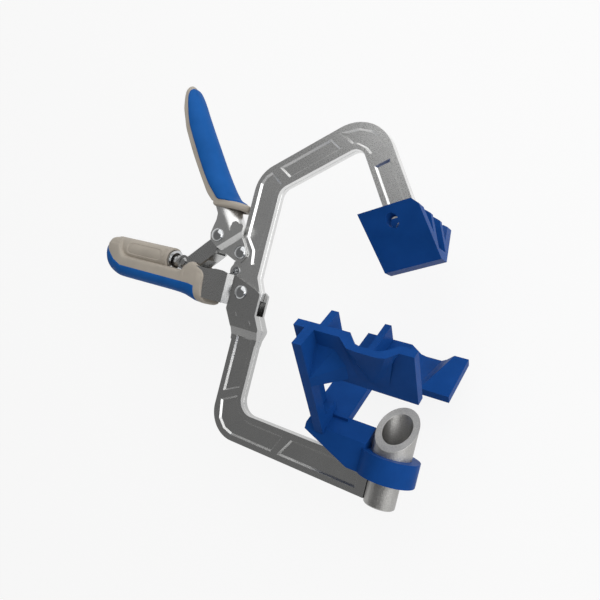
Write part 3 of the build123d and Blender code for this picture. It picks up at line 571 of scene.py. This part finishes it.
# Distance along the grip, lowest point, highest point and half the width.
grip_stations = [
    (-303.6, 69.6, 75.0, 1.2), (-303.3, 67.4, 77.4, 5.5), (-302.3, 64.4, 79.8, 8.8),
    (-299.8, 60.4, 81.4, 11.4), (-296.4, 55.9, 82.2, 13.0), (-292.4, 52.5, 82.3, 13.5),
    (-287.5, 50.3, 81.4, 13.5), (-283.6, 49.3, 76.6, 13.5), (-280.0, 48.9, 69.8, 13.5),
    (-275.0, 48.8, 67.2, 13.5), (-262.0, 48.8, 66.8, 13.5), (-240.0, 48.8, 66.8, 13.5),
    (-220.0, 48.8, 66.8, 13.5), (-209.0, 48.6, 66.9, 13.5), (-206.6, 48.4, 68.4, 13.5),
    (-204.0, 48.2, 72.2, 13.5), (-200.5, 47.8, 74.8, 13.5), (-195.0, 46.6, 75.6, 13.5),
    (-189.0, 45.2, 75.2, 13.5), (-184.0, 44.4, 74.2, 13.4), (-180.6, 44.8, 73.0, 13.1),
    (-179.2, 46.4, 71.2, 12.5),
]
grip_run = smooth(grip_stations, 170)
grip_turn = np.linspace(-np.pi, np.pi, 97)[:-1] - np.pi / 2
collar_start = -206
collar_length = 24
collar_end = -179.2
collar_height = (44.4, 46.5, 49, 52, 55, 58, 61, 64, 67, 69.5, 72, 74.5)
collar_front = (-177.2, -177.0, -178.2, -179.8, -180.9, -181.6,
                -181.9, -181.5, -182.0, -183.6, -186.4, -191.0)
slot_half = 9.4
slot_run = (-221, -215)
slot_floor = (66.6, 61.5)
crease_run = (-285.0, -282.3, -276.2, -262.5)
crease_height = (75.7, 70.9, 66.7, 66.0)
crease_step = 0.045


def grip_ring(row):
    """Closed section of the grip: a superellipse whose fullness changes along the grip. Its top is lowered
    in the middle for the link, it steps in above the crease, and the collar's end leans to an outline of
    its own."""
    x, low, high, half = row
    c, s = np.cos(grip_turn), np.sin(grip_turn)
    upper_fullness = np.interp(x, (-290, -280), (3.0, 6.0))
    lower_fullness = np.interp(x, (-206, -190), (3.0, 3.6))
    full = np.where(s > 0, upper_fullness, lower_fullness)
    y = (low + high) / 2 + (high - low) / 2 * np.sign(s) * np.abs(s) ** (2 / full)
    z = half * np.sign(c) * np.abs(c) ** (2 / full)
    slot = (np.abs(z) < slot_half) & (s > 0) & (x > slot_run[0])
    y = np.where(slot, np.minimum(y, np.interp(x, slot_run, slot_floor)), y)
    crease = np.interp(x, crease_run, crease_height)
    z = z * (1 - crease_step * np.clip((y - crease) / 0.5 + 0.5, 0, 1) * (c != 0))
    lean = np.clip((x - collar_start) / collar_length, 0, 1) ** 2
    return np.column_stack((x + lean * (np.interp(y, collar_height, collar_front) - collar_end), y, z))


grip_points = np.array([grip_ring(row) for row in grip_run])
shell = surface("grip_shell_piece", grip_points, pale, sharp=34)
mount_instead(shell, "grip_shell")

# The housing is a tube with a radius at each distance along it. The field is
# set in where two powers add up to less than one: the seventh of the distance
# from the field's middle and the fourth of the turn from it.
axis_height = 73.0
barrel_radius = 10.3
barrel_ends = (-296, -231)
barrel_x = np.concatenate((np.linspace(barrel_ends[0], -280, 10), np.linspace(-279.5, -229, 90),
                           np.linspace(-228.8, -228.4, 3), (-228.1, -228.0, -228.0, barrel_ends[1])))
barrel_r = np.full(len(barrel_x), barrel_radius)
barrel_r[-4:] = (10.1, 9.8, 8.8, 8.8)
barrel_turn = np.linspace(-np.pi, np.pi, 180, endpoint=False)
field_depth = 0.6
field_centre = (-256.4, 0.13)
field_half = (20.6, 0.50)
away = ((np.abs(barrel_x - field_centre[0]) / field_half[0])[:, None] ** 7
        + (np.abs(barrel_turn - field_centre[1]) / field_half[1])[None, :] ** 4)
reach = barrel_r[:, None] - field_depth * np.clip((1.12 - away) / 0.24, 0, 1)
barrel_points = np.stack((np.repeat(barrel_x[:, None], len(barrel_turn), axis=1),
                          axis_height + reach * np.sin(barrel_turn), reach * np.cos(barrel_turn)), axis=-1)
rear_pole, mouth_pole = (np.repeat([[[x, axis_height, 0]]], len(barrel_turn), axis=1) for x in barrel_ends)
housing = surface("adjuster_housing", np.vstack((rear_pole, barrel_points, mouth_pole)), pale, sharp=34)
mount(housing, "grip_shell")

# Signs at the housing's mouth, moulded in the same pale plastic: minus, plus
# and the arrow that joins them, as low ribs on the round of the housing.

rib_profile = ((-1, -0.1), (-0.7, 0.28), (0.7, 0.28), (1, -0.1))


def rib(name, line, half_width):
    """A low rib that follows a line of (distance along, turn) on the housing: a flat half hexagon, given as
    shares of the half width and heights above the round, is carried along the line."""
    line = smooth(line, 24)
    step = np.gradient(line * (1, barrel_radius), axis=0)
    side = np.column_stack((-step[:, 1], step[:, 0])) / np.linalg.norm(step, axis=1)[:, None]
    lines = []
    for offset, height in rib_profile:
        at = line + side * (1, 1 / barrel_radius) * offset * half_width
        lines.append(np.column_stack((at[:, 0], axis_height + (barrel_radius + height) * np.sin(at[:, 1]),
                                      (barrel_radius + height) * np.cos(at[:, 1]))))
    mount(surface(name, np.stack(lines, axis=1), pale, sharp=50), "grip_shell")


rib("minus_sign", [(-233.6, 0.72), (-231.0, 0.72)], 0.32)
rib("plus_sign_along", [(-233.8, -0.20), (-231.0, -0.20)], 0.32)
rib("plus_sign_across", [(-232.4, -0.34), (-232.4, -0.06)], 0.32)
rib("arrow_shaft", [(-232.3, 0.56), (-231.3, 0.36), (-231.3, 0.20), (-232.3, 0.06)], 0.24)
rib("arrow_tip", [(-233.4, 0.16), (-232.4, 0.04), (-231.2, 0.07)], 0.24)

# Grip's soft skin: blue overmould on the lower half, a thin swell on the
# shell's own surface between the parting line on one side and the other.

# The parting line's height falls from the grip's round end to its middle.
skin_ends = (-303.4, -187.4)
least_drop = 0.6
skin_top = np.interp(grip_run[:, 0], (-303.7, -299, -293, -287.2, -277.5, -194.7, -187.6),
                     (73.5, 70.6, 66.0, 61.4, 57.7, 57.3, 56.4))
round_from_top = np.argsort(np.mod(grip_turn - np.pi / 2, 2 * np.pi))


def below_parting(ring, top):
    """The line of a section below the parting line, from where it crosses it on one side to the other side,
    at the samples' shares of that way."""
    ring = ring[round_from_top]
    steps = np.concatenate(([0], np.cumsum(np.linalg.norm(np.diff(ring, axis=0), axis=1))))
    parting = min(top, ring[:, 1].max() - least_drop)
    below = np.where(ring[:, 1] < parting)[0]
    ends = []
    for inside, outside in ((below[0], below[0] - 1), (below[-1], below[-1] + 1)):
        share = (parting - ring[inside, 1]) / (ring[outside, 1] - ring[inside, 1])
        ends.append(steps[inside] + share * (steps[outside] - steps[inside]))
    at = ends[0] + (0.5 + 0.5 * samples) * (ends[1] - ends[0])
    return np.column_stack([np.interp(at, steps, ring[:, k]) for k in range(3)])


covered = np.where((grip_run[:, 0] > skin_ends[0]) & (grip_run[:, 0] < skin_ends[1]))[0]
grip_sheet = np.array([below_parting(grip_points[i], skin_top[i]) for i in covered])
grip_skin = swollen("grip_overmould_piece", grip_sheet, (0, -1, 0), edge_power=24, end_power=40,
                    above=0.5, below=0.5)
mount_instead(grip_skin, "grip_overmould")

# Stand: pale floor, plain soft light and the photograph's camera. Metal and the
# camera see the floor and the room as white, and the room is darker overhead.

camera_at = Vector((125.621, 63.643, 363.053)) * mm
right = Vector((0.82794, 0.24540, -0.50427))
down = Vector((0.20666, -0.96941, -0.13245))
ahead = Vector((-0.52135, 0.00545, -0.85333))
focal_pixels = 577.65
picture_width = 600
sensor_width = 36
lens = bpy.data.cameras.new("camera")
lens.lens = focal_pixels * sensor_width / picture_width
lens.sensor_width = sensor_width
lens.clip_start = 0.01
camera = bpy.data.objects.new("camera", lens)
turn = Matrix((right, -down, -ahead)).transposed()
camera.matrix_world = Matrix.Translation(camera_at) @ turn.to_4x4()
bpy.context.scene.collection.objects.link(camera)
bpy.context.scene.camera = camera

floor_gap = 0.002
floor_white = 0.86
bpy.ops.mesh.primitive_plane_add(size=6, location=(0, 0, cad_box[0].z - floor_gap))
floor = bpy.context.object
floor.name = "floor"
mat, tree, shader = finish_nodes("floor_paint")
shader.inputs["Base Color"].default_value = (0.85, 0.85, 0.85, 1)
shader.inputs["Roughness"].default_value = 0.9
shader.inputs["Specular IOR Level"].default_value = 0.0
glow = tree.nodes.new("ShaderNodeEmission")
glow.inputs["Strength"].default_value = 1.0
ray = tree.nodes.new("ShaderNodeLightPath")
direct = combined(tree, "MAXIMUM", ray.outputs["Is Camera Ray"], ray.outputs["Is Glossy Ray"])
blend = tree.nodes.new("ShaderNodeMixShader")
tree.links.new(spread(tree, direct, 0.0, floor_white, 0.0, 1.0), blend.inputs["Fac"])
tree.links.new(shader.outputs["BSDF"], blend.inputs[1])
tree.links.new(glow.outputs["Emission"], blend.inputs[2])
tree.links.new(blend.outputs["Shader"], tree.nodes["Material Output"].inputs["Surface"])
floor.data.materials.append(mat)


def lamp(name, place, aim, size, power):
    """A soft rectangular lamp that looks at a point."""
    data = bpy.data.lights.new(name, "AREA")
    data.shape = "RECTANGLE"
    data.size, data.size_y = size
    data.energy = power
    thing = bpy.data.objects.new(name, data)
    thing.location = place
    thing.rotation_euler = (Vector(aim) - Vector(place)).to_track_quat("-Z", "Y").to_euler()
    bpy.context.scene.collection.objects.link(thing)


lamp("key", place=(0.15, 1.2, 0.95), aim=(-0.12, 0.08, 0), size=(1.9, 1.9), power=14)
lamp("side", place=(1.0, 0.35, 0.52), aim=(-0.12, 0.08, 0), size=(1.1, 0.7), power=5)
lamp("front", place=(0.77, 0.06, 0.83), aim=(-0.15, 0.06, 0), size=(0.5, 0.5), power=1.0)

world = bpy.data.worlds.new("world")
bpy.context.scene.world = world
world.use_nodes = True
tree = world.node_tree
tree.nodes.clear()
out = tree.nodes.new("ShaderNodeOutputWorld")
soft = tree.nodes.new("ShaderNodeBackground")
soft.inputs["Strength"].default_value = 0.42
white = tree.nodes.new("ShaderNodeBackground")
white.inputs["Color"].default_value = (1, 1, 1, 1)
way = tree.nodes.new("ShaderNodeTexCoord")
split = tree.nodes.new("ShaderNodeSeparateXYZ")
tree.links.new(way.outputs["Generated"], split.inputs["Vector"])
ray = tree.nodes.new("ShaderNodeLightPath")
room = spread(tree, split.outputs["Z"], 1.0, 0.2, 0.1, 0.6)
tree.links.new(combined(tree, "MAXIMUM", room, ray.outputs["Is Camera Ray"]), white.inputs["Strength"])
direct = combined(tree, "MAXIMUM", ray.outputs["Is Camera Ray"], ray.outputs["Is Glossy Ray"])
mix = tree.nodes.new("ShaderNodeMixShader")
tree.links.new(direct, mix.inputs["Fac"])
tree.links.new(soft.outputs["Background"], mix.inputs[1])
tree.links.new(white.outputs["Background"], mix.inputs[2])
tree.links.new(mix.outputs["Shader"], out.inputs["Surface"])

bpy.context.scene.view_settings.view_transform = "Standard"
